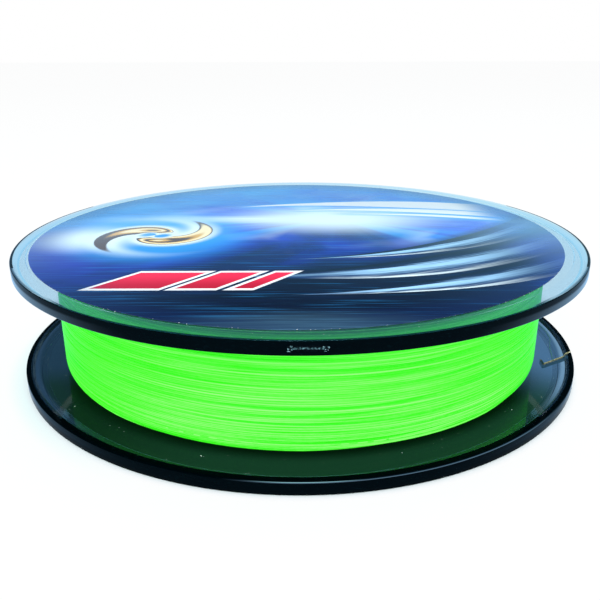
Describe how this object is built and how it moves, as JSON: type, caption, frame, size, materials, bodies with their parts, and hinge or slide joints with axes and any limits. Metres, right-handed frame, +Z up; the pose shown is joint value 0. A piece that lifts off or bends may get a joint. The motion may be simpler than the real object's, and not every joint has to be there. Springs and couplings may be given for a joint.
{
  "type": "fishing line spool",
  "caption": "Flat filler spool with two smoke-clear flanges, a ribbed drum wound full of braided line, round labels and a line slit.",
  "frame": {"origin": "centre of the lower flange's outer face, on the surface the spool lies on", "axes": "+Z up along the spool's axis; -Y is the side with the gate mark, which the picture looks at; the line slit is on the +X side"},
  "size_m": [0.093, 0.093, 0.0201],
  "materials": {
    "flange_plastic": "polished smoke-tinted clear polystyrene",
    "drum_plastic": "plain moulded plastic, seldom seen",
    "upper_label_film": "glossy printed film in blue, white and steel grey",
    "lower_label_film": "semi-gloss pale film",
    "tape": "thin adhesive tape",
    "line": "neon green braided polyethylene line with a light sheen"
  },
  "bodies": {
    "root": {"lower_flange": "flange_plastic", "upper_flange": "flange_plastic", "drum": "drum_plastic", "upper_label": "upper_label_film", "lower_label": "lower_label_film", "anchor_tape": "tape", "line_inner_layers": "line", "line_outer_layer": "line", "line_tail": "line"}
  },
  "joints": []
}
